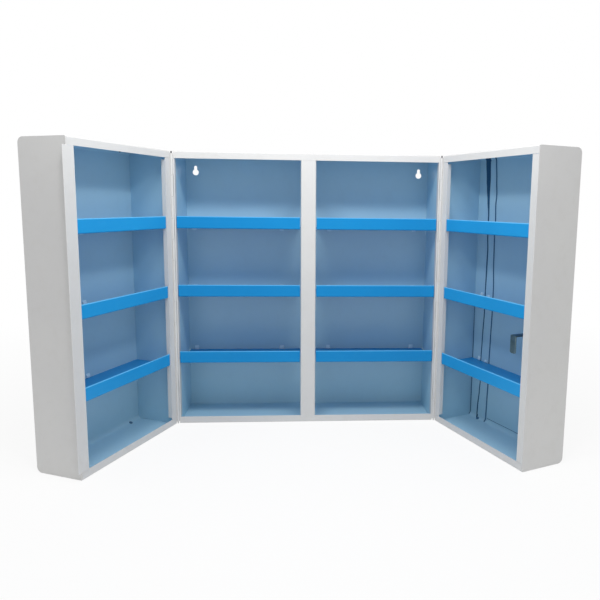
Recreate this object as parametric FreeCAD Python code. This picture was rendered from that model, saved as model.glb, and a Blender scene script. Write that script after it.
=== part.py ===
import FreeCAD, Part
import math
import os

# Wall-hung steel medicine cabinet: a shallow body with two bays, and two deep doors that carry
# shelves of their own. It is modelled with both doors open, as it is shown.
# Millimetres. +X is to the right of someone facing the cabinet, +Y towards the wall, +Z up.
# The origin lies on the back face, midway between the two hanging holes.

# Overall sizes
BODY_WIDTH = 460.0
BODY_HEIGHT = 482.0
BODY_DEPTH = 100.0
DOOR_DEPTH = 82.0
DOOR_OPEN = 112.0

# Sheet metal and clearances
SHEET = 1.0
SHELF_SHEET = 1.0
FIT_GAP = 0.3
RUNNING_GAP = 0.05
DOOR_GAP = 2.2
MEETING_GAP = 1.5

# Front frame of the body
BODY_RAIL = 12.2
BODY_BEND = 1.8
HEM_DEPTH = 12.0
MULLION_WIDTH = 26.8
MULLION_RETURN = 12.0
MULLION_BEND = 2.6

# Door frame
DOOR_RAIL = 12.2
DOOR_FLANGE = 13.0
DOOR_RETURN = 8.0
RETURN_RELIEF = 3.0
PANEL_BEND = 8.5
RAIL_BEND = 2.4
DRAIN_RADIUS = 2.2
DRAIN_FROM_HINGE = 28.0

# Hanging holes
KEYHOLE_SPACING = 422.0
KEYHOLE_FROM_TOP = 30.5
KEYHOLE_RADIUS = 5.5
KEYHOLE_SLOT = 5.5
KEYHOLE_RISE = 9.3

# Shelves, in both bays and both doors
SHELF_LEVELS = ("lower", "middle", "upper")
SHELF_FIRST = 111.2
SHELF_PITCH = 119.7
SHELF_LIP = 21.3
SHELF_SETBACK = 1.0
SHELF_END_GAP = 1.2
SHELF_BEND = 2.2
LIP_HEM = 6.0
TAB_WIDTH = 8.0
LEFT_BAY_TABS = (11.1, 36.1)
RIGHT_BAY_TABS = (25.4, 21.8)

# Strip that covers the gap between the closed doors, on the left door
COVER_LAP = 8.0
COVER_JOGGLE = 0.5

# Strap that stiffens the right door's panel
STRAP_WIDTH = 22.5
STRAP_THICKNESS = 1.2
STRAP_FROM_HINGE = 26.0

# Hinges, one along each side
KNUCKLE_RADIUS = 2.4
PIN_RADIUS = 1.2
LEAF_THICKNESS = 1.0
LEAF_WIDTH = 15.0
HINGE_END = 4.0
PIN_END = 0.5
KNUCKLE_COUNT = 13

# Lock of the right door
LOCK_FROM_HINGE = 202.0
LOCK_BELOW_SHELF = 33.4
BEZEL_RADIUS = 11.0
BEZEL_THICKNESS = 2.5
BARREL_RADIUS = 8.0
BARREL_LENGTH = 22.0
PLUG_RADIUS = 5.2
PLUG_HEAD_RADIUS = 6.5
PLUG_HEAD_DEPTH = 1.5
KEYWAY_WIDTH = 1.4
KEYWAY_HEIGHT = 7.5
KEYWAY_DEPTH = 10.0
SQUARE = 6.4
NUT_RADIUS = 12.5
NUT_THICKNESS = 4.0
HOOK_WIDTH = 11.5
HOOK_THICKNESS = 2.0
HOOK_DROP = 20.0
HOOK_RISE = 5.5
HOOK_CORNER = 3.2
HOOK_BEHIND = 0.6
NOTCH_GAP = 3.0
SCREW_RADIUS = 1.9
SCREW_LENGTH = 8.0
SCREW_HEAD_RADIUS = 4.2
SCREW_HEAD = 2.4
SCREW_SLOT = 1.0

# Places that follow from the sizes
HALF = BODY_WIDTH / 2
FRONT_Y = -BODY_DEPTH
BACK_Y = -SHEET
DOOR_Y = FRONT_Y - DOOR_GAP
DOOR_WIDTH = HALF - MEETING_GAP / 2
KEYHOLE_Z = BODY_HEIGHT - KEYHOLE_FROM_TOP
HINGE_X = HALF + KNUCKLE_RADIUS + FIT_GAP
HINGE_Y = FRONT_Y - DOOR_GAP / 2
PANEL_INSIDE = DOOR_DEPTH - SHEET
BORE_RADIUS = PIN_RADIUS + RUNNING_GAP
LOCK_HEIGHT = SHELF_FIRST + SHELF_PITCH - LOCK_BELOW_SHELF
LEFT = -1
RIGHT = 1
SIDES = ((LEFT, "left"), (RIGHT, "right"))
UP = FreeCAD.Vector(0, 0, 1)


def shelf_floor(level):
    """Height of a shelf's underside above the cabinet's bottom."""
    return SHELF_FIRST + level * SHELF_PITCH


def block(x0, x1, y0, y1, z0, z1):
    """Box between two corners given in any order."""
    low = FreeCAD.Vector(min(x0, x1), min(y0, y1), min(z0, z1))
    return Part.makeBox(abs(x1 - x0), abs(y1 - y0), abs(z1 - z0), low)


def join(shapes):
    """One solid from pieces that touch or overlap."""
    return shapes[0].multiFuse(shapes[1:]).removeSplitter()


def rod(radius, start, end):
    """Round bar between two points."""
    along = end.sub(start)
    return Part.makeCylinder(radius, along.Length, start, along)


def round_edges(shape, radius, wanted):
    """Fillet the edges for which wanted(edge) holds."""
    return shape.makeFillet(radius, [edge for edge in shape.Edges if wanted(edge)])


def tray(start, end, front, back, floor):
    """Tray shelf between two places along x: a floor, a bent-up lip at the front and its rolled hem."""
    top = floor + SHELF_LIP
    inner_bend = SHELF_BEND - SHELF_SHEET
    centre_z = floor + SHELF_BEND
    inwards = math.copysign(1, back - front)

    def at(depth, z):
        return FreeCAD.Vector(start, front + inwards * depth, z)

    def bend(radius):
        """Middle of the bend's arc at a radius from its centre."""
        reach = radius * math.sqrt(0.5)
        return at(SHELF_BEND - reach, centre_z - reach)

    depth = abs(back - front)
    corners = [
        at(depth, floor),
        at(SHELF_BEND, floor),
        at(0, centre_z),
        at(0, top - SHELF_SHEET),
        at(2 * SHELF_SHEET, top - SHELF_SHEET),
        at(2 * SHELF_SHEET, top - LIP_HEM),
        at(SHELF_SHEET, top - LIP_HEM),
        at(SHELF_SHEET, centre_z),
        at(SHELF_BEND, floor + SHELF_SHEET),
        at(depth, floor + SHELF_SHEET),
    ]
    arcs = {1: bend(SHELF_BEND), 3: at(SHELF_SHEET, top), 7: bend(inner_bend)}
    edges = []
    for number, corner in enumerate(corners):
        following = corners[(number + 1) % len(corners)]
        if number in arcs:
            edges.append(Part.Arc(corner, arcs[number], following).toShape())
        else:
            edges.append(Part.LineSegment(corner, following).toShape())
    return Part.Face(Part.Wire(edges)).extrude(FreeCAD.Vector(end - start, 0, 0))


def save(name, shape):
    """Write one piece, moved so that the origin lies between the hanging holes."""
    shape.translated(FreeCAD.Vector(0, 0, -KEYHOLE_Z)).exportStep("parts/" + name + ".step")


# A door is drawn closed. Its own coordinates are u, from its hinge edge towards its free edge,
# d, from its open face towards its outer panel, and z.


def door_point(side, u, d, z):
    return FreeCAD.Vector(side * (HALF - u), DOOR_Y - d, z)


def door_block(side, u0, u1, d0, d1, z0, z1):
    return block(side * (HALF - u0), side * (HALF - u1), DOOR_Y - d0, DOOR_Y - d1, z0, z1)


def door_rod(side, radius, u, z, d0, d1):
    return rod(radius, door_point(side, u, d0, z), door_point(side, u, d1, z))


def door_slab(side, u0, u1, inset):
    """The door's side outline, drawn in by inset, as a slab from u0 to u1, with its four bends."""
    slab = door_block(side, u0, u1, inset, DOOR_DEPTH - inset, inset, BODY_HEIGHT - inset)
    middle_y = DOOR_Y - DOOR_DEPTH / 2

    def panel_edge(edge):
        return abs(edge.Curve.Direction.x) > 0.5 and edge.CenterOfMass.y < middle_y

    def rail_edge(edge):
        straight = edge.Curve.TypeId == "Part::GeomLine"
        return straight and abs(edge.Curve.Direction.x) > 0.5 and edge.CenterOfMass.y > middle_y

    slab = round_edges(slab, PANEL_BEND - inset, panel_edge)
    return round_edges(slab, RAIL_BEND - inset, rail_edge)


def opened(side, shape):
    """A door piece turned about its hinge from closed to the pose that is shown."""
    return shape.rotated(FreeCAD.Vector(side * HINGE_X, HINGE_Y, 0), UP, side * DOOR_OPEN)


# Body


def keyhole(x):
    """Hanging hole: a round entry for the screw head and a slot up to where it hangs."""
    slot_end = KEYHOLE_Z + KEYHOLE_RISE
    half_slot = KEYHOLE_SLOT / 2
    entry = rod(KEYHOLE_RADIUS, FreeCAD.Vector(x, BACK_Y, KEYHOLE_Z), FreeCAD.Vector(x, 0, KEYHOLE_Z))
    slot = block(x - half_slot, x + half_slot, BACK_Y, 0, KEYHOLE_Z, slot_end)
    end = rod(half_slot, FreeCAD.Vector(x, BACK_Y, slot_end), FreeCAD.Vector(x, 0, slot_end))
    return join([entry, slot, end])


def bay_ends():
    """Inner and outer ends of a bay's shelf, as distances from the middle of the cabinet."""
    return MULLION_WIDTH / 2 + SHELF_END_GAP, HALF - 2 * SHEET - SHELF_END_GAP


def bay_tabs(side, level, gap):
    """The two tabs at the back of a bay's shelf, set in from its ends, or with a gap their slots."""
    inner, outer = bay_ends()
    left_end, right_end = sorted((side * inner, side * outer))
    left_inset, right_inset = LEFT_BAY_TABS if side == LEFT else RIGHT_BAY_TABS
    floor = shelf_floor(level)
    top = floor + SHELF_SHEET + gap
    half_tab = TAB_WIDTH / 2 + gap
    middles = (left_end + left_inset, right_end - right_inset)
    return [block(x - half_tab, x + half_tab, BACK_Y, 0, floor, top) for x in middles]


def back_panel():
    panel = block(-HALF, HALF, BACK_Y, 0, 0, BODY_HEIGHT)
    cuts = [keyhole(-KEYHOLE_SPACING / 2), keyhole(KEYHOLE_SPACING / 2)]
    for side, _ in SIDES:
        for level in range(len(SHELF_LEVELS)):
            cuts += bay_tabs(side, level, FIT_GAP)
    return panel.cut(cuts)


def end_panel(outside, inwards):
    """Top or bottom of the body with its front rail. inwards is -1 from the top, +1 from the bottom."""
    inside = outside + inwards * SHEET
    sheet = block(-HALF, HALF, FRONT_Y, BACK_Y, outside, inside)
    rail = block(-HALF, HALF, FRONT_Y, FRONT_Y + SHEET, outside, outside + inwards * BODY_RAIL)

    def front_edge(edge):
        middle = edge.CenterOfMass
        return math.hypot(middle.y - FRONT_Y, middle.z - outside) < SHEET / 2

    return round_edges(join([sheet, rail]), BODY_BEND, front_edge)


def side_panel(side):
    """Side of the body. Between the rails its front edge is hemmed to twice the sheet."""
    low = BODY_RAIL
    high = BODY_HEIGHT - BODY_RAIL
    outer = side * HALF
    sheet = block(outer, outer - side * SHEET, FRONT_Y + SHEET, BACK_Y, SHEET, BODY_HEIGHT - SHEET)
    hem = block(outer, outer - side * 2 * SHEET, FRONT_Y, FRONT_Y + HEM_DEPTH, low, high)
    return join([sheet, hem])


def upright(edge):
    return edge.Curve.TypeId == "Part::GeomLine" and abs(edge.Curve.Direction.z) > 0.5


def front_bent_box(half_width, front, back, low, high, bend):
    """Box with its two front upright edges rounded, as a folded sheet has them."""
    raw = block(-half_width, half_width, front, back, low, high)
    return round_edges(raw, bend, lambda edge: upright(edge) and edge.CenterOfMass.y < front + SHEET / 2)


def centre_mullion():
    """Channel post between the bays, with tongues behind the rails and a notch for the lock's hook."""
    low = BODY_RAIL
    high = BODY_HEIGHT - BODY_RAIL
    half = MULLION_WIDTH / 2
    inside = half - SHEET
    back = FRONT_Y + MULLION_RETURN
    outer = front_bent_box(half, FRONT_Y, back, low, high, MULLION_BEND)
    hollow = front_bent_box(inside, FRONT_Y + SHEET, back, low, high, MULLION_BEND - SHEET)
    notch_low = LOCK_HEIGHT - HOOK_DROP - NOTCH_GAP
    notch_high = LOCK_HEIGHT + HOOK_RISE + HOOK_THICKNESS + NOTCH_GAP
    notch = block(inside - SHEET, half, FRONT_Y + SHEET, back, notch_low, notch_high)
    channel = outer.cut([hollow, notch])
    flat = half - MULLION_BEND
    tongue_y = FRONT_Y + SHEET
    lower = block(-flat, flat, tongue_y, tongue_y + SHEET, SHEET, low + BODY_RAIL)
    upper = block(-flat, flat, tongue_y, tongue_y + SHEET, high - BODY_RAIL, BODY_HEIGHT - SHEET)
    return join([channel, lower, upper])


def bay_shelf(side, level):
    """Tray shelf of a bay: floor, front lip and two tabs that sit in the back panel's slots."""
    left_end, right_end = sorted(side * end for end in bay_ends())
    shelf = tray(left_end, right_end, FRONT_Y + SHELF_SETBACK, BACK_Y, shelf_floor(level))
    return join([shelf] + bay_tabs(side, level, 0))


# Doors


def door_panel(side):
    """Outer panel folded round into the top and bottom of the door and their front rails."""
    outer = door_slab(side, SHEET, DOOR_WIDTH - SHEET, 0)
    hollow = door_slab(side, SHEET, DOOR_WIDTH - SHEET, SHEET)
    mouth = door_block(side, SHEET, DOOR_WIDTH - SHEET, 0, SHEET, DOOR_RAIL, BODY_HEIGHT - DOOR_RAIL)
    drain_d = DOOR_DEPTH - PANEL_BEND / 2
    drain_low = door_point(side, DRAIN_FROM_HINGE, drain_d, 0)
    drain_high = door_point(side, DRAIN_FROM_HINGE, drain_d, BODY_HEIGHT)
    cuts = [hollow, mouth, rod(DRAIN_RADIUS, drain_low, drain_high)]
    if side == RIGHT:
        hole = BARREL_RADIUS + FIT_GAP
        cuts.append(door_rod(side, hole, LOCK_FROM_HINGE, LOCK_HEIGHT, PANEL_INSIDE, DOOR_DEPTH))
    return outer.cut(cuts)


def door_side(side, edge, inwards):
    """Side wall of a door with its front flange and return. inwards is the way along u from its edge."""
    low = DOOR_RAIL + FIT_GAP
    high = BODY_HEIGHT - DOOR_RAIL - FIT_GAP
    tip = edge + inwards * DOOR_FLANGE
    wall = door_slab(side, edge, edge + inwards * SHEET, 0)
    flange = door_block(side, edge, tip, 0, SHEET, low, high)
    fold = door_block(
        side, tip, tip - inwards * SHEET, 0, DOOR_RETURN, low + RETURN_RELIEF, high - RETURN_RELIEF
    )
    return join([wall, flange, fold])


def door_shelf(side, level):
    """Tray shelf of a door: its front fits between the flange returns, its back between the walls."""
    floor = shelf_floor(level)
    narrow = DOOR_FLANGE + SHELF_END_GAP
    wide = SHEET + FIT_GAP
    shoulder = DOOR_RETURN + FIT_GAP
    front = door_point(side, narrow, SHELF_SETBACK, floor)
    back = door_point(side, DOOR_WIDTH - narrow, PANEL_INSIDE, floor)
    left_end, right_end = sorted((front.x, back.x))
    wings = door_block(side, wide, DOOR_WIDTH - wide, shoulder, PANEL_INSIDE, floor, floor + SHELF_SHEET)
    shelf = join([tray(left_end, right_end, front.y, back.y, floor), wings])
    if side == RIGHT:
        shelf = shelf.cut(strap(FIT_GAP))
    return shelf


def strap(gap):
    """Flat strap on the inside of the right door's panel, or with a gap the notch that it needs."""
    start = STRAP_FROM_HINGE - gap
    end = STRAP_FROM_HINGE + STRAP_WIDTH + gap
    face = PANEL_INSIDE - STRAP_THICKNESS - gap
    return door_block(RIGHT, start, end, face, PANEL_INSIDE, PANEL_BEND, BODY_HEIGHT - PANEL_BEND)


def cover_strip():
    """Strip on the left door's free edge, stepped back so that the right door closes over it."""
    low = DOOR_RAIL + FIT_GAP
    high = BODY_HEIGHT - DOOR_RAIL - FIT_GAP
    step = DOOR_WIDTH - SHEET
    seat = door_block(LEFT, DOOR_WIDTH - DOOR_FLANGE, step, -SHEET, 0, low, high)
    lap = door_block(
        LEFT, step, DOOR_WIDTH + COVER_LAP, -SHEET - COVER_JOGGLE, -COVER_JOGGLE, low, high
    )
    return join([seat, lap])


# Hinges


def hinge_leaf(side, towards, first):
    """Leaf on the outside of a side wall: towards is +1 for the body and -1 for the door.

    Its knuckles are every second one, starting from the one numbered first.
    """
    low = HINGE_END
    length = (BODY_HEIGHT - 2 * HINGE_END) / KNUCKLE_COUNT
    plate_start = HINGE_Y + towards * (KNUCKLE_RADIUS + 2 * FIT_GAP)
    plate_end = HINGE_Y + towards * LEAF_WIDTH
    inner = side * HALF
    outer = side * (HALF + LEAF_THICKNESS)
    pieces = [block(inner, outer, plate_start, plate_end, low, BODY_HEIGHT - HINGE_END)]
    for number in range(first, KNUCKLE_COUNT, 2):
        bottom = low + number * length + FIT_GAP / 2
        top = bottom + length - FIT_GAP
        axis = FreeCAD.Vector(side * HINGE_X, HINGE_Y, bottom)
        pieces.append(rod(KNUCKLE_RADIUS, axis, axis.add(UP * (top - bottom))))
        pieces.append(block(inner, outer, HINGE_Y + towards * PIN_RADIUS, plate_start, bottom, top))
    bore_start = FreeCAD.Vector(side * HINGE_X, HINGE_Y, 0)
    bore = rod(BORE_RADIUS, bore_start, bore_start.add(UP * BODY_HEIGHT))
    return join(pieces).cut(bore)


def hinge_pin(side):
    start = FreeCAD.Vector(side * HINGE_X, HINGE_Y, PIN_END)
    return rod(PIN_RADIUS, start, start.add(UP * (BODY_HEIGHT - 2 * PIN_END)))


# Lock, drawn on the closed right door with its hook hanging


def lock_rod(radius, d0, d1):
    return door_rod(RIGHT, radius, LOCK_FROM_HINGE, LOCK_HEIGHT, d0, d1)


def lock_block(u0, u1, d0, d1, z0, z1):
    """Box placed from the lock's axis."""
    u = LOCK_FROM_HINGE
    z = LOCK_HEIGHT
    return door_block(RIGHT, u + u0, u + u1, d0, d1, z + z0, z + z1)


BEZEL_FACE = DOOR_DEPTH + BEZEL_THICKNESS
BARREL_END = DOOR_DEPTH - BARREL_LENGTH
TANG_BACK = BARREL_END - FIT_GAP
TANG_FACE = TANG_BACK - HOOK_THICKNESS
HOOK_FACE = -(DOOR_GAP + SHEET + HOOK_BEHIND)
HOOK_TIP_FACE = HOOK_FACE - HOOK_THICKNESS


def lock_housing():
    """Barrel through the door's panel with a round bezel outside."""
    bezel = lock_rod(BEZEL_RADIUS, DOOR_DEPTH, BEZEL_FACE)
    rim = BEZEL_THICKNESS / 3
    bezel = round_edges(bezel, rim, lambda edge: abs(edge.CenterOfMass.y - (DOOR_Y - BEZEL_FACE)) < rim / 2)
    barrel = lock_rod(BARREL_RADIUS, BARREL_END, DOOR_DEPTH)
    bore = lock_rod(PLUG_RADIUS + RUNNING_GAP, BARREL_END, BEZEL_FACE)
    seat = lock_rod(PLUG_HEAD_RADIUS + RUNNING_GAP, BEZEL_FACE - PLUG_HEAD_DEPTH, BEZEL_FACE)
    return join([bezel, barrel]).cut([bore, seat])


def lock_nut():
    """Hexagon nut that holds the barrel to the inside of the panel."""
    face = PANEL_INSIDE - NUT_THICKNESS
    corners = []
    for corner in range(7):
        turn = math.radians(60 * corner)
        u = LOCK_FROM_HINGE + NUT_RADIUS * math.cos(turn)
        z = LOCK_HEIGHT + NUT_RADIUS * math.sin(turn)
        corners.append(door_point(RIGHT, u, face, z))
    hexagon = Part.Face(Part.makePolygon(corners))
    body = hexagon.extrude(FreeCAD.Vector(0, -NUT_THICKNESS, 0))
    return body.cut(lock_rod(BARREL_RADIUS + FIT_GAP / 3, face, PANEL_INSIDE))


def lock_plug():
    """Turning core with a keyway in front and a square behind for the hook."""
    half = SQUARE / 2
    core = lock_rod(PLUG_RADIUS, TANG_BACK, BEZEL_FACE - PLUG_HEAD_DEPTH)
    head_start = BEZEL_FACE - PLUG_HEAD_DEPTH
    head = lock_rod(PLUG_HEAD_RADIUS, head_start, BEZEL_FACE)
    square = lock_block(-half, half, TANG_FACE + FIT_GAP, TANG_BACK, -half, half)
    keyway = lock_block(
        -KEYWAY_WIDTH / 2, KEYWAY_WIDTH / 2, BEZEL_FACE - KEYWAY_DEPTH, BEZEL_FACE,
        -KEYWAY_HEIGHT / 2, KEYWAY_HEIGHT / 2,
    )
    screw_end = TANG_FACE + SCREW_LENGTH + FIT_GAP
    tapped = lock_rod(SCREW_RADIUS + RUNNING_GAP, TANG_FACE, screw_end)
    return join([core, head, square]).cut([keyway, tapped])


def lock_hook():
    """Bent steel strap: a tang on the plug, a leg out to the open face and a hook that hangs from it."""
    half = HOOK_WIDTH / 2
    rise = HOOK_RISE + HOOK_THICKNESS
    hole = SQUARE / 2 + RUNNING_GAP
    tang = lock_block(-half, half, TANG_FACE, TANG_BACK, -half, rise)
    tang = tang.cut(lock_block(-hole, hole, TANG_FACE, TANG_BACK, -hole, hole))
    leg = lock_block(-half, half, HOOK_TIP_FACE, TANG_BACK, HOOK_RISE, rise)
    hook = lock_block(-half, half, HOOK_TIP_FACE, HOOK_FACE, -HOOK_DROP, rise)
    bottom = LOCK_HEIGHT - HOOK_DROP

    def lower_corner(edge):
        low = abs(edge.CenterOfMass.z - bottom) < HOOK_THICKNESS / 2
        return low and edge.Length < 2 * HOOK_THICKNESS

    hook = round_edges(hook, HOOK_CORNER, lower_corner)
    return join([tang, leg, hook])


def lock_screw():
    """Screw that holds the hook on the plug."""
    head_face = TANG_FACE - SCREW_HEAD
    head = lock_rod(SCREW_HEAD_RADIUS, head_face, TANG_FACE)
    shank = lock_rod(SCREW_RADIUS, TANG_FACE, TANG_FACE + SCREW_LENGTH)
    half = SCREW_SLOT / 2
    slot = lock_block(
        -SCREW_HEAD_RADIUS, SCREW_HEAD_RADIUS, head_face, head_face + SCREW_SLOT, -half, half
    )
    return join([head, shank]).cut(slot)


os.makedirs("parts", exist_ok=True)

save("cabinet_back_panel", back_panel())
save("cabinet_top_panel", end_panel(BODY_HEIGHT, -1))
save("cabinet_bottom_panel", end_panel(0, 1))
save("centre_mullion", centre_mullion())

for side, word in SIDES:
    save("cabinet_" + word + "_side", side_panel(side))
    save(word + "_hinge_body_leaf", hinge_leaf(side, 1, 0))
    save(word + "_hinge_pin", hinge_pin(side))
    save(word + "_hinge_door_leaf", opened(side, hinge_leaf(side, -1, 1)))
    save(word + "_door_panel", opened(side, door_panel(side)))
    save(word + "_door_hinge_side", opened(side, door_side(side, 0, 1)))
    save(word + "_door_free_side", opened(side, door_side(side, DOOR_WIDTH, -1)))
    for level, level_word in enumerate(SHELF_LEVELS):
        save(word + "_bay_shelf_" + level_word, bay_shelf(side, level))
        save(word + "_door_shelf_" + level_word, opened(side, door_shelf(side, level)))

save("left_door_cover_strip", opened(LEFT, cover_strip()))
save("right_door_strap", opened(RIGHT, strap(0)))
save("lock_housing", opened(RIGHT, lock_housing()))
save("lock_nut", opened(RIGHT, lock_nut()))
save("lock_plug", opened(RIGHT, lock_plug()))
save("lock_hook", opened(RIGHT, lock_hook()))
save("lock_screw", opened(RIGHT, lock_screw()))
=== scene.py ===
import math

import bmesh
import bpy
from mathutils import Matrix, Vector


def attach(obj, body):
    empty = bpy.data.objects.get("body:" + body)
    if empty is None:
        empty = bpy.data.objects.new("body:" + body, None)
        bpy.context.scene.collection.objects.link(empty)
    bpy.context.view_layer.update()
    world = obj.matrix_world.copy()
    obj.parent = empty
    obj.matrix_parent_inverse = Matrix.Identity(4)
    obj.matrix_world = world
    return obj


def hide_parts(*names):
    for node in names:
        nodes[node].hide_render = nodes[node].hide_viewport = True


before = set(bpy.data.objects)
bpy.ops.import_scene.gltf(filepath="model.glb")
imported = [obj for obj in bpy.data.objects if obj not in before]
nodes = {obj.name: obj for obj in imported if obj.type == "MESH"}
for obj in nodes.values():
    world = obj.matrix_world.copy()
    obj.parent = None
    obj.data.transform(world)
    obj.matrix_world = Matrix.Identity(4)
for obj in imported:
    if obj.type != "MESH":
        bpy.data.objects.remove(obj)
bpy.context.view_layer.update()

# The wall cabinet's looks. Metres, +X right, +Y towards the wall, +Z up, doors open as shown.
# The origin lies on the back face between the hanging holes. BASE is the height of the cabinet's bottom.

scene = bpy.context.scene
scene.view_settings.view_transform = "Standard"

# Sizes repeated from the solids
BASE = -0.4515
HEIGHT = 0.482
HALF = 0.230
SHEET = 0.001
FRONT = -0.100
SIDE_HEM = 0.0125
DOOR_FACE = -0.1022
DOOR_WIDTH = 0.22925
DOOR_DEPTH = 0.082
PANEL_INSIDE = DOOR_DEPTH - SHEET
DOOR_RETURN = 0.008
PANEL_BEND = 0.0085
HINGE_X = 0.2327
HINGE_Y = -0.1011
DOOR_OPEN = math.radians(112)
SHELF_FLOORS = (0.1112, 0.2309, 0.3506)
SHELF_PITCH = 0.1197
LIP_HEIGHT = 0.0213
LEFT = -1
RIGHT = 1
SIDES = ((LEFT, "left"), (RIGHT, "right"))


def opened(side):
    """Turn that carries a closed door to the pose shown."""
    hinge = Vector((side * HINGE_X, HINGE_Y, 0))
    turn = Matrix.Rotation(side * DOOR_OPEN, 4, "Z")
    return Matrix.Translation(hinge) @ turn @ Matrix.Translation(-hinge)


def door_point(side, u, d, z):
    """u from the hinge edge, d from the open face to the outer panel, z from the cabinet's bottom."""
    return opened(side) @ Vector((side * (HALF - u), DOOR_FACE - d, BASE + z))


def door_across(side):
    """Direction from a door's hinge edge to its free edge."""
    return (door_point(side, 1, 0, 0) - door_point(side, 0, 0, 0)).normalized()


def door_out(side):
    """Direction from a door's panel to its open face."""
    return (door_point(side, 0, 0, 0) - door_point(side, 0, 1, 0)).normalized()


def in_door(side, place):
    """u, d and z of a place on the opened door."""
    closed = opened(side).inverted() @ place
    return HALF - side * closed.x, DOOR_FACE - closed.y, closed.z - BASE


# Camera at the photograph's place

CAMERA_PLACE = (-0.0019, -1.11825, -0.05445)
PITCH = math.radians(7.58)
YAW = math.radians(3.85)
ROLL = math.radians(0.71)
SENSOR_WIDTH = 36
LENS = 34.685
SHIFT_X = -0.0761
SHIFT_Y = -0.0327
CLIP_START = 0.01

camera = bpy.data.objects.new("camera", bpy.data.cameras.new("camera"))
scene.collection.objects.link(camera)
scene.camera = camera
ahead = Vector((math.sin(YAW) * math.cos(PITCH), math.cos(YAW) * math.cos(PITCH), -math.sin(PITCH)))
level = Vector((math.cos(YAW), -math.sin(YAW), 0))
upward = level.cross(ahead)
right = level * math.cos(ROLL) + upward * math.sin(ROLL)
up = upward * math.cos(ROLL) - level * math.sin(ROLL)
turn = Matrix((right, up, -ahead)).transposed().to_4x4()
camera.matrix_world = Matrix.Translation(CAMERA_PLACE) @ turn
camera.data.sensor_fit = "HORIZONTAL"
camera.data.sensor_width = SENSOR_WIDTH
camera.data.lens = LENS
camera.data.shift_x = SHIFT_X
camera.data.shift_y = SHIFT_Y
camera.data.clip_start = CLIP_START


# Materials

WAVE_SCALE = 7
MOTTLE_SCALE = 55
PEEL_SCALE = 420
CLOUD_SCALE = 120
GRAIN_SCALE = 900
WAVE_DEPTH = 0.0008
FINE_DEPTH = 0.00003


def new_material(name):
    """Material, its node tree and its surface shader."""
    material = bpy.data.materials.new(name)
    material.use_nodes = True
    tree = material.node_tree
    return material, tree, tree.nodes["Principled BSDF"]


def noise(tree, scale, detail=2.0, roughness=0.5, stretch=(1, 1, 1)):
    """Noise over the piece's own coordinates."""
    place = tree.nodes.new("ShaderNodeTexCoord")
    mapping = tree.nodes.new("ShaderNodeMapping")
    mapping.inputs["Scale"].default_value = stretch
    texture = tree.nodes.new("ShaderNodeTexNoise")
    texture.inputs["Scale"].default_value = scale
    texture.inputs["Detail"].default_value = detail
    texture.inputs["Roughness"].default_value = roughness
    tree.links.new(place.outputs["Object"], mapping.inputs["Vector"])
    tree.links.new(mapping.outputs["Vector"], texture.inputs["Vector"])
    return texture.outputs["Fac"]


def own_height(tree):
    """Height in the piece's own coordinates."""
    place = tree.nodes.new("ShaderNodeTexCoord")
    parts = tree.nodes.new("ShaderNodeSeparateXYZ")
    tree.links.new(place.outputs["Object"], parts.inputs[0])
    return parts.outputs["Z"]


def spread(tree, value, low, high, from_low=0.3, from_high=0.7):
    """A value taken from one range to another. The first range suits a noise if it isn't given."""
    node = tree.nodes.new("ShaderNodeMapRange")
    node.inputs["From Min"].default_value = from_low
    node.inputs["From Max"].default_value = from_high
    node.inputs["To Min"].default_value = low
    node.inputs["To Max"].default_value = high
    tree.links.new(value, node.inputs["Value"])
    return node.outputs["Result"]


def combine(tree, operation, first, second):
    """One value from two."""
    node = tree.nodes.new("ShaderNodeMath")
    node.operation = operation
    tree.links.new(first, node.inputs[0])
    tree.links.new(second, node.inputs[1])
    return node.outputs[0]


def blend(tree, factor, first, second):
    """Colour between two, each a colour or a socket."""
    node = tree.nodes.new("ShaderNodeMix")
    node.data_type = "RGBA"
    tree.links.new(factor, node.inputs["Factor"])
    ends = [socket for socket in node.inputs if socket.type == "RGBA"]
    for socket, colour in zip(ends, (first, second)):
        if isinstance(colour, tuple):
            socket.default_value = (*colour, 1)
        else:
            tree.links.new(colour, socket)
    return [socket for socket in node.outputs if socket.type == "RGBA"][0]


def bump(tree, height, distance, strength, under=None):
    """Normal bent by a height, on top of another normal if one is given."""
    node = tree.nodes.new("ShaderNodeBump")
    node.inputs["Distance"].default_value = distance
    node.inputs["Strength"].default_value = strength
    tree.links.new(height, node.inputs["Height"])
    if under is not None:
        tree.links.new(under, node.inputs["Normal"])
    return node.outputs["Normal"]


def enamel(name, colour, shade, dust, rough, gloss):
    """Stoved enamel on sheet steel: orange peel, faint mottling, sheets that aren't quite flat."""
    material, tree, surface = new_material(name)
    broad = noise(tree, WAVE_SCALE)
    mottle = noise(tree, MOTTLE_SCALE, detail=5, roughness=0.65)
    peel = noise(tree, PEEL_SCALE)
    toned = blend(tree, spread(tree, broad, 0, 1), colour, shade)
    toned = blend(tree, spread(tree, mottle, 0, 0.35, 0.5, 0.8), toned, dust)
    tree.links.new(toned, surface.inputs["Base Color"])
    tree.links.new(spread(tree, mottle, rough - 0.03, rough + 0.04), surface.inputs["Roughness"])
    wave = bump(tree, broad, WAVE_DEPTH, 0.4)
    tree.links.new(bump(tree, peel, FINE_DEPTH, 0.5, wave), surface.inputs["Normal"])
    surface.inputs["Specular IOR Level"].default_value = gloss
    return material


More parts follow.
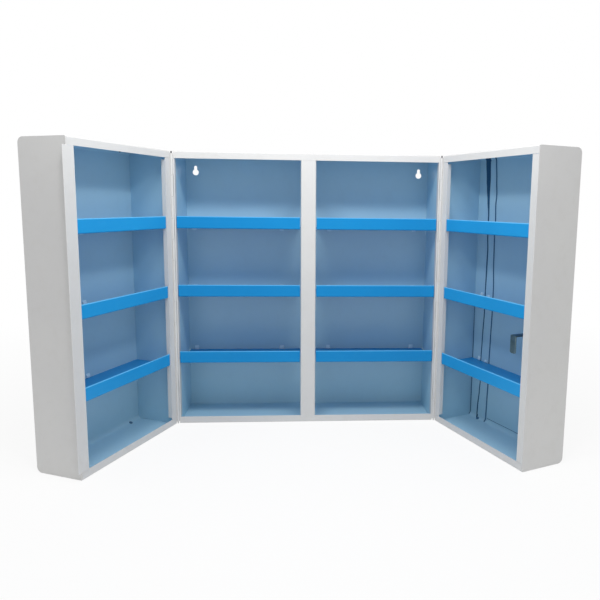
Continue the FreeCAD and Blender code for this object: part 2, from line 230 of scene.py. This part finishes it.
def metal(name, colour, shade, rough, streaks):
    """Bare or plated metal with fine drawn streaks."""
    material, tree, surface = new_material(name)
    grain = noise(tree, GRAIN_SCALE, detail=3, roughness=0.6, stretch=streaks)
    cloud = noise(tree, CLOUD_SCALE, detail=4)
    tree.links.new(blend(tree, spread(tree, cloud, 0, 1), colour, shade), surface.inputs["Base Color"])
    tree.links.new(spread(tree, grain, rough - 0.08, rough + 0.12), surface.inputs["Roughness"])
    tree.links.new(bump(tree, grain, FINE_DEPTH, 0.5), surface.inputs["Normal"])
    surface.inputs["Metallic"].default_value = 1
    return material


WHITE_PAINT = (0.68, 0.68, 0.67)
WHITE = enamel("white_enamel", WHITE_PAINT, (0.65, 0.65, 0.65), (0.60, 0.59, 0.57), 0.34, 0.3)
INSIDE = enamel("inside_enamel", (0.44, 0.68, 0.82), (0.41, 0.65, 0.79), (0.39, 0.60, 0.73), 0.32, 0.25)
BLUE = enamel("blue_enamel", (0.007, 0.26, 0.61), (0.006, 0.235, 0.57), (0.018, 0.27, 0.59), 0.32, 0.15)
# Painted light: the door shelves take a lighter copy of the blue enamel, standing in for the light that
# reaches them from the front; they are the same paint as the bay shelves.
DOOR_BLUE_PAINTED_LIGHT = enamel(
    "door_blue_enamel_painted_light", (0.018, 0.32, 0.71), (0.016, 0.29, 0.66), (0.03, 0.33, 0.69), 0.32, 0.15
)
# Painted highlight: the tongues take a paler copy of the inside enamel, standing in for light caught on
# their bowed faces.
TONGUE_HIGHLIGHT = enamel("tongue_painted_highlight", (0.62, 0.82, 0.94), (0.56, 0.77, 0.90), (0.50, 0.70, 0.82), 0.28, 0.3)
ZINC = metal("zinc_plate", (0.19, 0.27, 0.29), (0.12, 0.18, 0.20), 0.36, (1, 1, 0.08))
CHROME = metal("lock_chrome", (0.72, 0.73, 0.75), (0.62, 0.63, 0.65), 0.16, (1, 0.1, 1))
# Painted shadow: dark enamel on the raised line along the strap's hinge-side edge stands in for the shade in
# the gap under that edge.
STRAP_GAP_SHADOW = enamel(
    "strap_gap_painted_shadow", (0.028, 0.105, 0.210), (0.022, 0.090, 0.185), (0.040, 0.115, 0.205), 0.5, 0.15
)
# Dark enamel of the plugs and of the seam along the panel's foot; on the strap's free-side edge and in the
# panel's inner corner it is painted shade.
DARK_JOINT_AND_SHADE = enamel(
    "dark_joint_and_painted_shade", (0.075, 0.185, 0.320), (0.065, 0.165, 0.290), (0.090, 0.190, 0.300), 0.5, 0.15
)
STEEL = metal("pin_steel", (0.10, 0.10, 0.11), (0.06, 0.06, 0.07), 0.45, (1, 1, 0.05))

# The painted highlight on a hem starts and is full at these shares of the shelf pitch below the lip's top
HEM_HIGHLIGHT_START = 0.0135
HEM_HIGHLIGHT_FULL = 0.0085
HEM_HIGHLIGHT_STRENGTH = 0.9
PIN_FOOT = BASE + 0.02


def paint_hem_highlight(material, light):
    """Painted highlight on the rolled hem of every lip: the colour turns to a lighter one near the lip's
    top. Height counts from just under each floor.
    """
    tree = material.node_tree
    surface = tree.nodes["Principled BSDF"]
    toned = surface.inputs["Base Color"].links[0].from_socket
    start = BASE + SHELF_FLOORS[0] - 2 * SHEET
    pitches = spread(tree, own_height(tree), 0, 3, start, start + 3 * SHELF_PITCH)
    above = tree.nodes.new("ShaderNodeMath")
    above.operation = "FRACT"
    tree.links.new(pitches, above.inputs[0])
    top = (LIP_HEIGHT + 2 * SHEET) / SHELF_PITCH
    edge = spread(tree, above.outputs[0], 0, HEM_HIGHLIGHT_STRENGTH, top - HEM_HIGHLIGHT_START, top - HEM_HIGHLIGHT_FULL)
    tree.links.new(blend(tree, edge, toned, light), surface.inputs["Base Color"])


def painted_foot(material, paint, top):
    """Enamel runs over the lower end of a bare pin, up to the height top."""
    tree = material.node_tree
    surface = tree.nodes["Principled BSDF"]
    metal_tone = surface.inputs["Base Color"].links[0].from_socket
    bare = spread(tree, own_height(tree), 0, 1, top, top + SHEET)
    tree.links.new(blend(tree, bare, paint, metal_tone), surface.inputs["Base Color"])
    tree.links.new(bare, surface.inputs["Metallic"])


# Painted highlights: a lighter band along the top of every lip's hem, lighter still on the door shelves.
paint_hem_highlight(BLUE, (0.10, 0.45, 0.80))
paint_hem_highlight(DOOR_BLUE_PAINTED_LIGHT, (0.14, 0.52, 0.88))
painted_foot(STEEL, WHITE_PAINT, PIN_FOOT)


# Finishes of the solids

BACK_ROUND = 0.00025
PANEL_ROUND = 0.0003
SHELF_ROUND = 0.00035
HOOK_ROUND = 0.0005
WELD_GAP = 0.000005
FLAT_ANGLE = math.radians(0.6)
ROUND_ANGLE = math.radians(35)

# A face is tested at a point this far off it
OFF_FACE = 0.0004


def soften(piece, width):
    """Small round on every folded or cut edge."""
    weld = piece.modifiers.new("weld", "WELD")
    weld.merge_threshold = WELD_GAP
    flat = piece.modifiers.new("flat", "DECIMATE")
    flat.decimate_type = "DISSOLVE"
    flat.angle_limit = FLAT_ANGLE
    flat.delimit = {"MATERIAL"}
    edge = piece.modifiers.new("edge", "BEVEL")
    edge.width = width
    edge.segments = 2
    edge.limit_method = "ANGLE"
    edge.angle_limit = ROUND_ANGLE
    piece.modifiers.new("normals", "WEIGHTED_NORMAL").keep_sharp = True


def finish_node(name, material, edge=0, inside=None):
    """Material of a node. Faces for which inside(place, normal) holds take the inside enamel."""
    piece = nodes[name]
    piece.data.materials.clear()
    piece.data.materials.append(material)
    if inside:
        piece.data.materials.append(INSIDE)
    for face in piece.data.polygons:
        face.material_index = int(inside(face.center, face.normal)) if inside else 0
    if edge:
        soften(piece, edge)


def inside_body(place, normal):
    """Face towards the inside of the body."""
    spot = place + normal * OFF_FACE
    across = abs(spot.x) < HALF - SHEET
    deep = FRONT + SHEET < spot.y < -SHEET
    high = BASE + SHEET < spot.z < BASE + HEIGHT - SHEET
    return across and deep and high


def inside_side(place, normal):
    """Inner face of a side wall, behind its hem."""
    return inside_body(place, normal) and place.y > FRONT + SIDE_HEM


def inside_door(side):
    """Test for a face towards the inside of a door, within the bends of its panel."""
    def test(place, normal):
        u, d, z = in_door(side, place + normal * OFF_FACE)
        past = d - (DOOR_DEPTH - PANEL_BEND)
        below = PANEL_BEND - min(z, HEIGHT - z)
        rounded = past > 0 and below > 0 and math.hypot(past, below) > PANEL_BEND - SHEET
        boxed = SHEET < d < PANEL_INSIDE and SHEET < z < HEIGHT - SHEET
        return boxed and SHEET < u < DOOR_WIDTH - SHEET and not rounded

    return test


def inside_wall(side):
    """Test for the inner face of a door's side wall, behind its flange return."""
    test = inside_door(side)

    def deep(place, normal):
        return test(place, normal) and in_door(side, place)[1] > DOOR_RETURN + OFF_FACE

    return deep


finish_node("cabinet_back_panel", WHITE, BACK_ROUND, inside_body)
finish_node("cabinet_top_panel", WHITE, PANEL_ROUND, inside_body)
finish_node("cabinet_bottom_panel", WHITE, PANEL_ROUND, inside_body)
finish_node("centre_mullion", WHITE, PANEL_ROUND)
for side, word in SIDES:
    finish_node("cabinet_" + word + "_side", WHITE, PANEL_ROUND, inside_side)
    finish_node(word + "_door_panel", WHITE, PANEL_ROUND, inside_door(side))
    finish_node(word + "_door_hinge_side", WHITE, PANEL_ROUND, inside_wall(side))
    finish_node(word + "_door_free_side", WHITE, PANEL_ROUND, inside_wall(side))
    finish_node(word + "_hinge_body_leaf", WHITE)
    finish_node(word + "_hinge_door_leaf", WHITE)
    finish_node(word + "_hinge_pin", STEEL)
    for level_word in ("lower", "middle", "upper"):
        finish_node(word + "_bay_shelf_" + level_word, BLUE, SHELF_ROUND)
        finish_node(word + "_door_shelf_" + level_word, DOOR_BLUE_PAINTED_LIGHT, SHELF_ROUND)
finish_node("left_door_cover_strip", WHITE, PANEL_ROUND)
finish_node("right_door_strap", INSIDE)
finish_node("lock_housing", CHROME)
finish_node("lock_plug", CHROME)
finish_node("lock_nut", ZINC)
finish_node("lock_hook", ZINC, HOOK_ROUND)
finish_node("lock_screw", ZINC)


# Small pieces that the solids leave out

SHARP_ANGLE = math.radians(50)

# Tongues: places across the back, and across each door from its hinge edge
TAB_PLACES = (-0.2157, -0.0507, 0.0400, 0.2050)
LEFT_DOOR_TONGUES = (0.122, 0.196)
RIGHT_DOOR_TONGUES = (0.0215, 0.0400, 0.196)
TONGUE_WIDTH = 0.0080
TONGUE_LENGTH = 0.0068
TONGUE_BOW = 0.0026
TONGUE_SHEET = 0.0007
TONGUE_CLEAR = 0.0004
TONGUE_STEPS = 8
TONGUE_COLUMNS = 4
TONGUE_CURL = 0.3
TONGUE_ARC = 0.62 * math.pi
TONGUE_DOME = 0.4

# Strap on the right door's panel; its height at the edges and its body are shares of its thickness
STRAP_THICKNESS = 0.0012
STRAP_END = 0.0086
STRAP_COLUMNS = 8
STRAP_EDGE = 0.75
STRAP_BODY = 0.7

# Dark lines on the right door's panel: painted shadow in the strap's edge gaps, painted shade in the inner
# corner, and a seam along the foot
DARK_LINE_CROWN = 0.0006
PANEL_STEP = 0.004
DARK_LINE_END = 0.0025
DARK_LINE_COLUMNS = 3
FLOOR_SEAM_WIDTH = 0.0010
FLOOR_SEAM_STEPS = 28
FLOOR_SEAM_COLUMNS = 2
FLOOR_SEAM_DOME = 0.8

# Dark lines up the right door's panel: height, distance from the hinge edge, width.
# The strap's edges follow the hinge-side and free-side lines, which are painted shadow of the gaps under
# those edges, widest near the top on the hinge side; the corner line is painted shade in the panel's inner
# corner.
HINGE_GAP_SHADOW = (
    (0.0025, 0.0250, 0.0024), (0.008, 0.0222, 0.0026), (0.022, 0.0229, 0.0030), (0.056, 0.0262, 0.0024),
    (0.074, 0.0276, 0.0022), (0.117, 0.0267, 0.0022), (0.152, 0.0281, 0.0024), (0.206, 0.0306, 0.0026),
    (0.245, 0.0308, 0.0024), (0.281, 0.0316, 0.0034), (0.318, 0.0322, 0.0030), (0.342, 0.0305, 0.0026),
    (0.380, 0.0304, 0.0034), (0.406, 0.0286, 0.0060), (0.424, 0.0272, 0.0085), (0.441, 0.0266, 0.0112),
    (0.474, 0.0244, 0.0125),
)
FREE_GAP_SHADOW = (
    (0.008, 0.0466, 0.0022), (0.034, 0.0474, 0.0020), (0.072, 0.0487, 0.0018), (0.119, 0.0488, 0.0016),
    (0.160, 0.0498, 0.0018), (0.202, 0.0513, 0.0016), (0.248, 0.0516, 0.0014), (0.301, 0.0490, 0.0016),
    (0.343, 0.0482, 0.0018), (0.372, 0.0489, 0.0016), (0.398, 0.0476, 0.0018), (0.415, 0.0490, 0.0018),
    (0.441, 0.0472, 0.0018), (0.474, 0.0446, 0.0016),
)
CORNER_SHADE = (
    (DARK_LINE_END, 0.0020, 0.0013), (SHELF_FLOORS[0], 0.0020, 0.0013), (SHELF_FLOORS[1], 0.0018, 0.0006),
)

# Seam along the foot of the right door's panel: distance from the hinge edge, height
FLOOR_SEAM = ((0.050, 0.0092), (0.120, 0.0100), (0.214, 0.0096))

# Plugs: radius and height over the sheet, from the end in the hole to the top of the head
PLUG_PROFILE = (
    (0.0019, -0.0009), (0.0019, 0.0001), (0.0030, 0.0002),
    (0.0031, 0.0007), (0.0022, 0.0012), (0.0008, 0.0014),
)
PLUG_FROM_HINGE = 0.028
PLUG_TILT = math.radians(30)
PLUG_STEPS = 24


def add_slab(mesh, rows, through):
    """Closed sheet: a grid of points, and the same grid moved by the vector through."""
    top = [[mesh.verts.new(point) for point in row] for row in rows]
    under = [[mesh.verts.new(point + through) for point in row] for row in rows]
    tall = len(rows) - 1
    wide = len(rows[0]) - 1
    for i in range(tall):
        for j in range(wide):
            mesh.faces.new((top[i][j], top[i][j + 1], top[i + 1][j + 1], top[i + 1][j]))
            mesh.faces.new((under[i][j], under[i + 1][j], under[i + 1][j + 1], under[i][j + 1]))
    rim = [(0, j) for j in range(wide)] + [(i, wide) for i in range(tall)]
    rim += [(tall, j) for j in range(wide, 0, -1)] + [(i, 0) for i in range(tall, 0, -1)]
    for (i, j), (k, m) in zip(rim, rim[1:] + rim[:1]):
        mesh.faces.new((top[i][j], under[i][j], under[k][m], top[k][m]))


def add_piece(name, mesh, material, body):
    """Finished piece from a filled bmesh, riding on a body."""
    bmesh.ops.recalc_face_normals(mesh, faces=mesh.faces)
    data = bpy.data.meshes.new(name)
    mesh.to_mesh(data)
    mesh.free()
    data.materials.append(material)
    data.shade_smooth()
    data.set_sharp_from_angle(angle=SHARP_ANGLE)
    piece = bpy.data.objects.new(name, data)
    scene.collection.objects.link(piece)
    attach(piece, body)
    return piece


def across_strip(columns):
    """Places across a strip from -1 at one edge to 1 at the other, with so many columns each side."""
    return [column / columns for column in range(-columns, columns + 1)]


def add_tongue(mesh, tip, along, across, out):
    """Lanced tongue: leaves the sheet at its root, bows out and ends beside the shelf at its tip."""
    rows = []
    for step in range(TONGUE_STEPS + 1):
        share = step / TONGUE_STEPS
        row = []
        for aside in across_strip(TONGUE_COLUMNS):
            reach = TONGUE_LENGTH * (1 - share) + TONGUE_BOW * TONGUE_CURL * share * aside ** 4
            lift = TONGUE_BOW * math.sin(TONGUE_ARC * share) * (1 - TONGUE_DOME * aside ** 2)
            row.append(tip - along * reach + across * aside * TONGUE_WIDTH / 2 + out * lift)
        rows.append(row)
    add_slab(mesh, rows, out * -TONGUE_SHEET)


def add_tongue_pair(mesh, place, across, out):
    """One tongue over and one under each shelf's floor; place gives a point of the sheet at a height."""
    upward = Vector((0, 0, 1))
    for floor in SHELF_FLOORS:
        add_tongue(mesh, place(floor + SHEET + TONGUE_CLEAR), -upward, across, out)
        add_tongue(mesh, place(floor - TONGUE_CLEAR), upward, across, out)


def along_line(line, z):
    """Values of a line of points at a height, smoothed between its points."""
    for (low_z, *low_values), (high_z, *high_values) in zip(line, line[1:]):
        if z <= high_z:
            break
    share = min(max((z - low_z) / (high_z - low_z), 0), 1)
    share = share * share * (3 - 2 * share)
    return [a + (b - a) * share for a, b in zip(low_values, high_values)]


def compartment_steps(margin):
    """Heights up a door's panel in four lengths between the shelves, a margin from its ends."""
    ends = [margin]
    for floor in SHELF_FLOORS:
        ends += [floor - TONGUE_CLEAR, floor + SHEET + TONGUE_CLEAR]
    ends.append(HEIGHT - margin)
    for low_z, high_z in zip(ends[::2], ends[1::2]):
        count = math.ceil((high_z - low_z) / PANEL_STEP)
        yield [low_z + (high_z - low_z) * step / count for step in range(count + 1)]


def panel_face(z):
    """Depth of a door panel's inner face at a height, round its bends."""
    past = max(PANEL_BEND - min(z, HEIGHT - z), 0)
    return DOOR_DEPTH - PANEL_BEND + math.sqrt((PANEL_BEND - SHEET) ** 2 - past ** 2)


def add_strap(mesh, side):
    """Low strap up a door's panel between the two painted shadow lines, in lengths between the shelves."""
    for heights in compartment_steps(STRAP_END):
        rows = []
        for z in heights:
            start = along_line(HINGE_GAP_SHADOW, z)[0]
            end = along_line(FREE_GAP_SHADOW, z)[0]
            row = []
            for column in range(STRAP_COLUMNS + 1):
                share = column / STRAP_COLUMNS
                crown = STRAP_THICKNESS * (STRAP_EDGE + (1 - STRAP_EDGE) * math.sin(math.pi * share))
                row.append(door_point(side, start + (end - start) * share, PANEL_INSIDE - crown, z))
            rows.append(row)
        add_slab(mesh, rows, door_out(side) * -STRAP_THICKNESS * STRAP_BODY)


def add_dark_line(mesh, side, line, lift):
    """Thin raised line up a door's panel that carries painted shade, in lengths between the shelves, as far
    as its line goes.
    """
    for heights in compartment_steps(DARK_LINE_END):
        if heights[0] > line[-1][0]:
            break
        rows = []
        for z in heights:
            centre, width = along_line(line, z)
            row = []
            for aside in across_strip(DARK_LINE_COLUMNS):
                depth = panel_face(z) - lift - DARK_LINE_CROWN * (1 - aside ** 2)
                row.append(door_point(side, centre + aside * width / 2, depth, z))
            rows.append(row)
        add_slab(mesh, rows, door_out(side) * -lift)


def add_floor_seam(mesh, side):
    """Raised seam along the foot of a door's panel."""
    start = FLOOR_SEAM[0][0]
    end = FLOOR_SEAM[-1][0]
    rows = []
    for step in range(FLOOR_SEAM_STEPS + 1):
        u = start + (end - start) * step / FLOOR_SEAM_STEPS
        z = along_line(FLOOR_SEAM, u)[0]
        row = []
        for aside in across_strip(FLOOR_SEAM_COLUMNS):
            lift = DARK_LINE_CROWN * (1 - FLOOR_SEAM_DOME * aside ** 2)
            row.append(door_point(side, u, PANEL_INSIDE - lift, z + aside * FLOOR_SEAM_WIDTH / 2))
        rows.append(row)
    add_slab(mesh, rows, door_out(side) * -DARK_LINE_CROWN)


def add_plug(mesh, side, upper):
    """Plug in the drain hole in the lower or upper bend of a door's panel, near the hinge."""
    middle = DOOR_DEPTH - PANEL_BEND
    reach = PANEL_BEND - SHEET
    rise = math.cos(PLUG_TILT)
    sink = math.sin(PLUG_TILT)
    rings = []
    for radius, lift in PLUG_PROFILE:
        ring = []
        for step in range(PLUG_STEPS):
            angle = math.tau * step / PLUG_STEPS
            tilted = radius * math.sin(angle)
            u = PLUG_FROM_HINGE + radius * math.cos(angle)
            d = middle + (reach - lift) * sink + tilted * rise
            z = PANEL_BEND - (reach - lift) * rise + tilted * sink
            z = HEIGHT - z if upper else z
            ring.append(mesh.verts.new(door_point(side, u, d, z)))
        rings.append(ring)
    for first, second in zip(rings, rings[1:]):
        for step in range(PLUG_STEPS):
            after = (step + 1) % PLUG_STEPS
            mesh.faces.new((first[step], first[after], second[after], second[step]))
    mesh.faces.new(rings[0])
    mesh.faces.new(rings[-1])


# Tongues beside the shelves, finished with the paler enamel as painted highlight.
mesh = bmesh.new()
for tab in TAB_PLACES:
    add_tongue_pair(mesh, lambda z: Vector((tab, -SHEET, BASE + z)), Vector((1, 0, 0)), Vector((0, -1, 0)))
add_piece("bay_shelf_tongues", mesh, TONGUE_HIGHLIGHT, "cabinet")

for (side, word), places in zip(SIDES, (LEFT_DOOR_TONGUES, RIGHT_DOOR_TONGUES)):
    mesh = bmesh.new()
    for u in places:
        add_tongue_pair(
            mesh, lambda z: door_point(side, u, PANEL_INSIDE, z), door_across(side), door_out(side)
        )
    add_piece(word + "_door_tongues", mesh, TONGUE_HIGHLIGHT, word + "_door")

mesh = bmesh.new()
add_strap(mesh, RIGHT)
strap = add_piece("right_door_strap_formed", mesh, INSIDE, "right_door")
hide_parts("right_door_strap")

# Dark raised line along the strap's hinge-side edge: painted shadow of the gap under it.
mesh = bmesh.new()
add_dark_line(mesh, RIGHT, HINGE_GAP_SHADOW, STRAP_THICKNESS)
add_piece("right_door_strap_gap_shadow", mesh, STRAP_GAP_SHADOW, "right_door")

# Dark raised lines: painted shade in the panel's inner corner, painted shadow along the strap's free-side
# edge, and a dark seam along the panel's foot.
mesh = bmesh.new()
add_dark_line(mesh, RIGHT, CORNER_SHADE, DARK_LINE_CROWN)
add_dark_line(mesh, RIGHT, FREE_GAP_SHADOW, STRAP_THICKNESS)
add_floor_seam(mesh, RIGHT)
add_piece("right_door_painted_shade_and_foot_seam", mesh, DARK_JOINT_AND_SHADE, "right_door")

for side, word in SIDES:
    mesh = bmesh.new()
    for upper in (False, True):
        add_plug(mesh, side, upper)
    add_piece(word + "_door_plugs", mesh, DARK_JOINT_AND_SHADE, word + "_door")


# Floor, background and light

FLOOR_HALF = 9
FLOOR_GAP = 0.0005
FLOOR_SHADOW = 0.12
FADE_CENTRE = (0, -0.15, BASE)
FADE_START = 0.5
FADE_END = 1.3
SKY_STRENGTH = 0.64


def seen_directly(tree):
    """1 for rays from the camera, from a reflection or through a clear piece, else 0."""
    path = tree.nodes.new("ShaderNodeLightPath")
    seen = combine(tree, "MAXIMUM", path.outputs["Is Camera Ray"], path.outputs["Is Glossy Ray"])
    return combine(tree, "MAXIMUM", seen, path.outputs["Is Transmission Ray"])


def mix_shaders(tree, factor, first, second, output):
    """Output of a tree: a mix of two shaders."""
    mix = tree.nodes.new("ShaderNodeMixShader")
    tree.links.new(factor, mix.inputs[0])
    tree.links.new(first.outputs[0], mix.inputs[1])
    tree.links.new(second.outputs[0], mix.inputs[2])
    tree.links.new(mix.outputs[0], tree.nodes[output].inputs["Surface"])


def stage_material(name):
    """White to the camera and in reflections, with a share of the real shading so that shadows stay."""
    material, tree, surface = new_material(name)
    surface.inputs["Base Color"].default_value = (0.9, 0.9, 0.9, 1)
    surface.inputs["Roughness"].default_value = 0.9
    white = tree.nodes.new("ShaderNodeEmission")
    place = tree.nodes.new("ShaderNodeNewGeometry")
    away = tree.nodes.new("ShaderNodeVectorMath")
    away.operation = "DISTANCE"
    away.inputs[1].default_value = FADE_CENTRE
    tree.links.new(place.outputs["Position"], away.inputs[0])
    fade = spread(tree, away.outputs["Value"], 1 - FLOOR_SHADOW, 1, FADE_START, FADE_END)
    share = combine(tree, "MULTIPLY", seen_directly(tree), fade)
    mix_shaders(tree, share, surface, white, "Material Output")
    return material


corners = [
    (-FLOOR_HALF, -FLOOR_HALF, 0), (FLOOR_HALF, -FLOOR_HALF, 0),
    (FLOOR_HALF, FLOOR_HALF, 0), (-FLOOR_HALF, FLOOR_HALF, 0),
]
floor_mesh = bpy.data.meshes.new("floor")
floor_mesh.from_pydata(corners, [], [(0, 1, 2, 3)])
floor = bpy.data.objects.new("floor", floor_mesh)
scene.collection.objects.link(floor)
floor.location.z = BASE - FLOOR_GAP
floor_mesh.materials.append(stage_material("pale_floor"))

# Soft light from all round, plain white where the background is seen
world = bpy.data.worlds.new("studio")
scene.world = world
world.use_nodes = True
tree = world.node_tree
soft = tree.nodes["Background"]
soft.inputs["Color"].default_value = (1, 1, 1, 1)
soft.inputs["Strength"].default_value = SKY_STRENGTH
plain = tree.nodes.new("ShaderNodeBackground")
plain.inputs["Color"].default_value = (1, 1, 1, 1)
plain.inputs["Strength"].default_value = 1
mix_shaders(tree, seen_directly(tree), soft, plain, "World Output")


def softbox(name, place, aim, width, height, power):
    """Rectangular lamp at a place, turned to a point and hidden from the camera."""
    lamp = bpy.data.lights.new(name, "AREA")
    lamp.shape = "RECTANGLE"
    lamp.size = width
    lamp.size_y = height
    lamp.energy = power
    holder = bpy.data.objects.new(name, lamp)
    scene.collection.objects.link(holder)
    holder.location = place
    holder.rotation_euler = (Vector(aim) - Vector(place)).to_track_quat("-Z", "Y").to_euler()
    holder.visible_camera = False


softbox("ceiling_light", (0, -0.45, 0.75), (0, -0.449, -0.20), width=0.6, height=0.4, power=1.5)
for side in (LEFT, RIGHT):
    place = (side * -0.17, -0.52, 0.38)
    softbox("strip_light", place, (side * 0.10, -0.10, -0.10), width=0.22, height=0.07, power=1.5)
